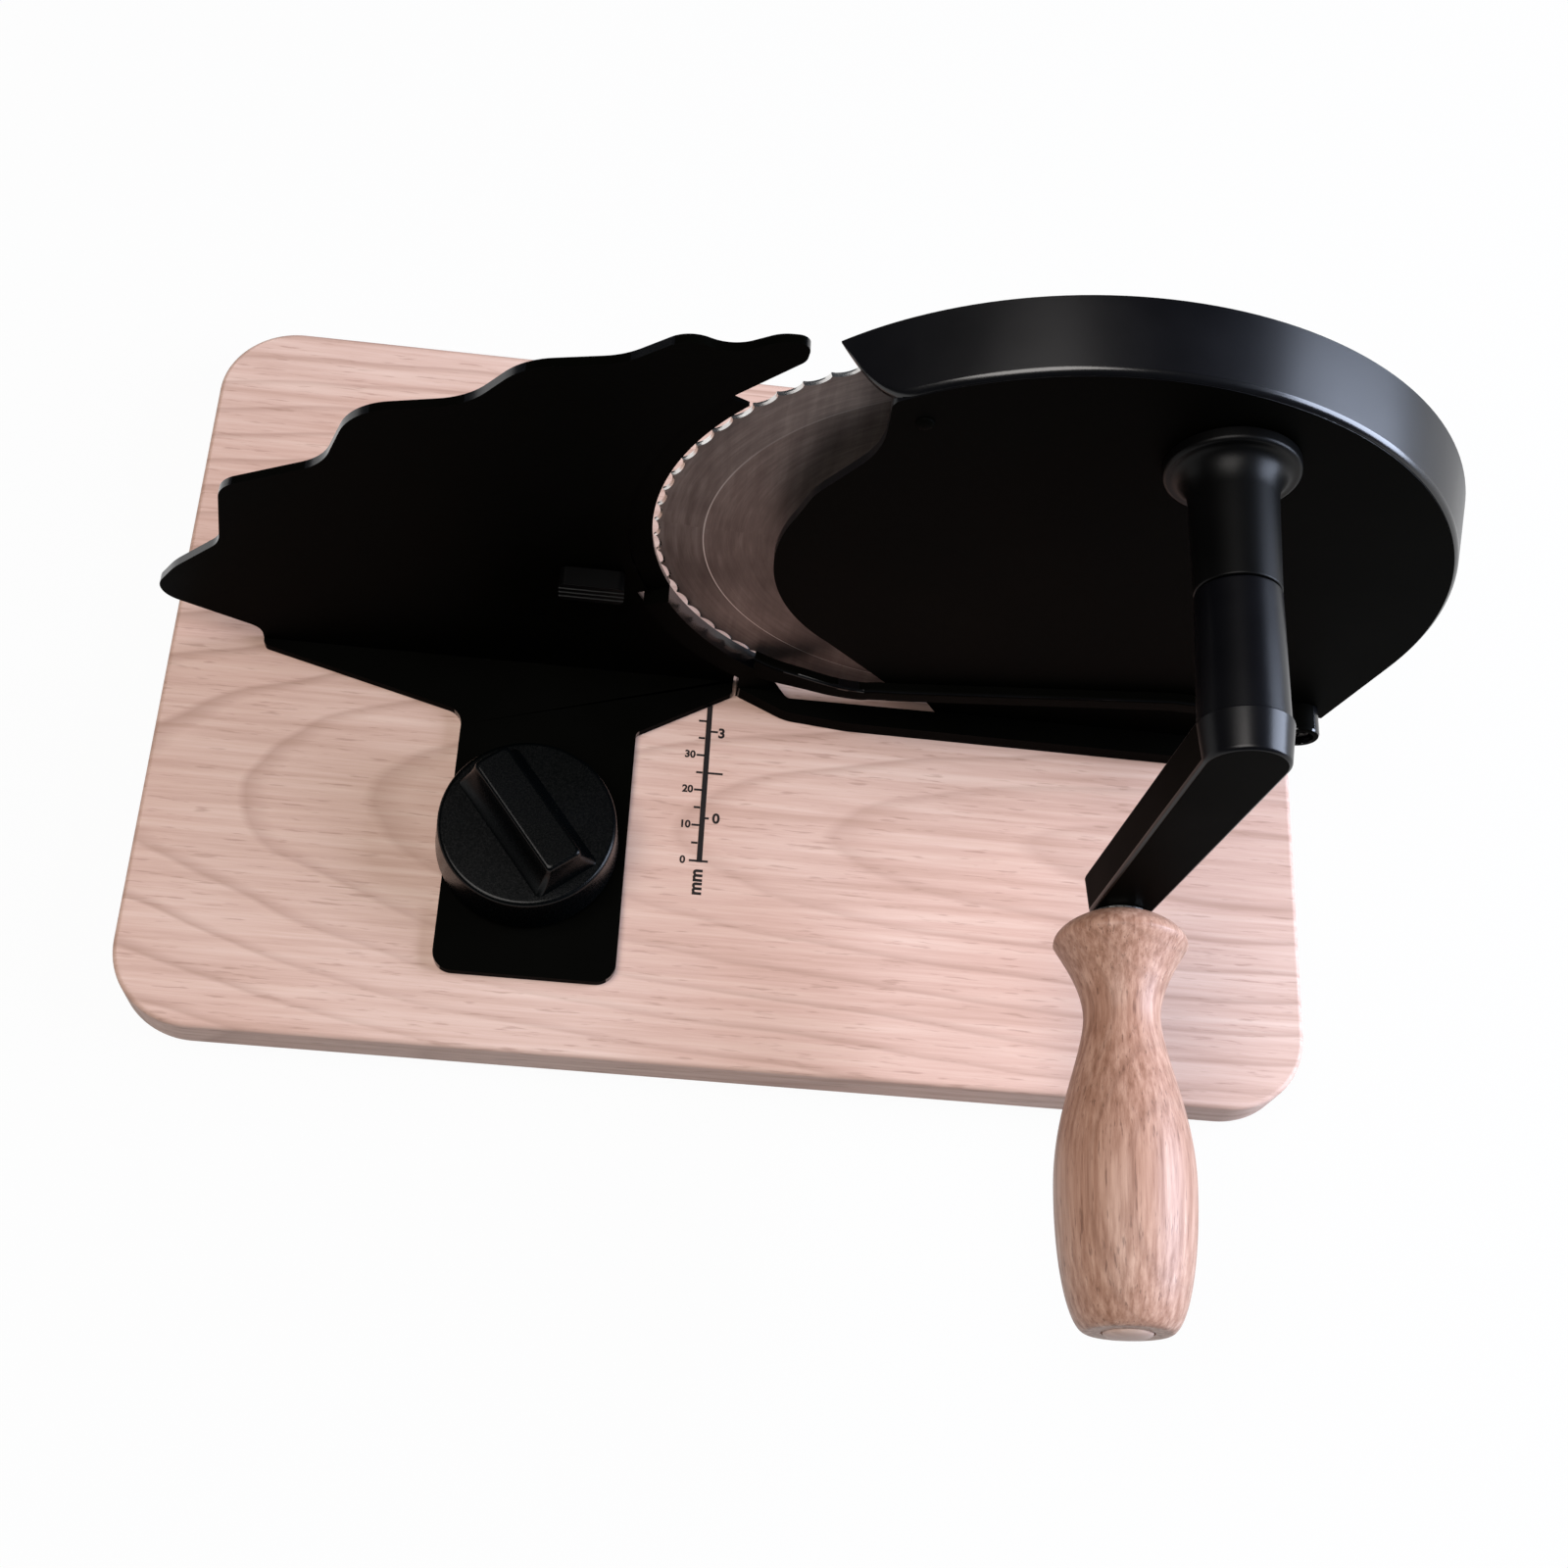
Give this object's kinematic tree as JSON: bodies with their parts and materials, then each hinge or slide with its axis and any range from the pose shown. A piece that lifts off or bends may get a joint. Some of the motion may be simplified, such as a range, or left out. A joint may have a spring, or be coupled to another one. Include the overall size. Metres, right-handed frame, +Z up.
{
  "type": "hand crank bread slicer",
  "caption": "Hand-cranked bread slicer: round scalloped blade under a black hood on a beech board, sliding stop plate with clamp knob, crank with turned wooden handle.",
  "frame": {"origin": "on the surface the feet stand on, below the middle of the whole slicer's box", "axes": "+X to the right along the board, from the stop plate to the housing; +Y away from the user, from the crank handle to the loaf's side; +Z up"},
  "size_m": [0.3708, 0.3286, 0.2255],
  "materials": {
    "beech": "oiled",
    "black_enamel": "satin",
    "rubber": "matte",
    "steel": "bright zinc",
    "blade_steel": "ground",
    "nylon": "matte",
    "bronze": "turned",
    "brass": "turned",
    "black_plastic": "satin"
  },
  "bodies": {
    "root": {"base_board": "beech", "rubber_foot_1": "rubber", "rubber_foot_2": "rubber", "rubber_foot_3": "rubber", "rubber_foot_4": "rubber", "foot_screw_1": "steel", "foot_screw_2": "steel", "foot_screw_3": "steel", "foot_screw_4": "steel", "clamp_track": "steel", "track_screw_1": "steel", "track_screw_2": "steel", "housing_shell": "black_enamel", "housing_screw_1": "steel", "housing_screw_2": "steel", "face_rivet": "black_enamel", "guard_frame": "black_enamel", "frame_screw_1": "steel", "frame_screw_2": "steel", "corner_screw": "steel", "crank_sleeve": "black_enamel", "sleeve_screw_1": "steel", "sleeve_screw_2": "steel", "sleeve_screw_3": "steel", "front_bush": "bronze", "rear_bush": "bronze", "blade_axle": "steel", "axle_cap": "steel", "cap_screw": "steel", "idler_pin": "steel", "idler_clip": "steel"},
    "stop": {"stop_plate": "black_enamel", "stop_catch": "black_enamel", "catch_rivet_1": "steel", "catch_rivet_2": "steel", "clamp_bolt": "steel", "clamp_washer": "steel"},
    "knob": {"clamp_knob": "black_plastic", "knob_insert": "brass"},
    "blade": {"blade_disc": "blade_steel", "blade_gear": "nylon", "blade_bush": "bronze", "gear_screw_1": "steel", "gear_screw_2": "steel", "gear_screw_3": "steel"},
    "idler": {"idler_gear": "nylon"},
    "crank": {"crank_shaft": "steel", "crank_pinion": "nylon", "pinion_clip": "steel", "crank_arm": "black_enamel", "lock_screw": "steel", "handle_pin": "steel", "pin_washer": "steel"},
    "handle": {"handle_grip": "beech", "handle_plug": "beech"}
  },
  "joints": [
    {"name": "stop_slide", "type": "slide", "parent": "root", "child": "stop", "axis": [0, -1, 0], "range_m": [0, 0.02]},
    {"name": "knob_turn", "type": "hinge", "parent": "stop", "child": "knob", "pos_m": [-0.06789, -0.01625, 0.032], "axis": [0, 0, 1], "range_deg": [0, 180]},
    {"name": "blade_spin", "type": "hinge", "parent": "root", "child": "blade", "pos_m": [0.05411, 0.04175, 0.1145], "axis": [0, 1, 0], "continuous": true},
    {"name": "crank_spin", "type": "hinge", "parent": "root", "child": "crank", "pos_m": [0.10211, 0.04175, 0.1895], "axis": [0, 1, 0], "continuous": true},
    {"name": "idler_spin", "type": "hinge", "parent": "root", "child": "idler", "pos_m": [0.1024, 0.04175, 0.1565], "axis": [0, 1, 0], "continuous": true},
    {"name": "handle_spin", "type": "hinge", "parent": "crank", "child": "handle", "pos_m": [0.09768, -0.10825, 0.0921], "axis": [0, 1, 0], "continuous": true}
  ],
  "couplings": [
    {"joint": "crank_spin", "follows": "blade_spin", "ratio": 2.6316},
    {"joint": "idler_spin", "follows": "blade_spin", "ratio": -3.5714}
  ]
}
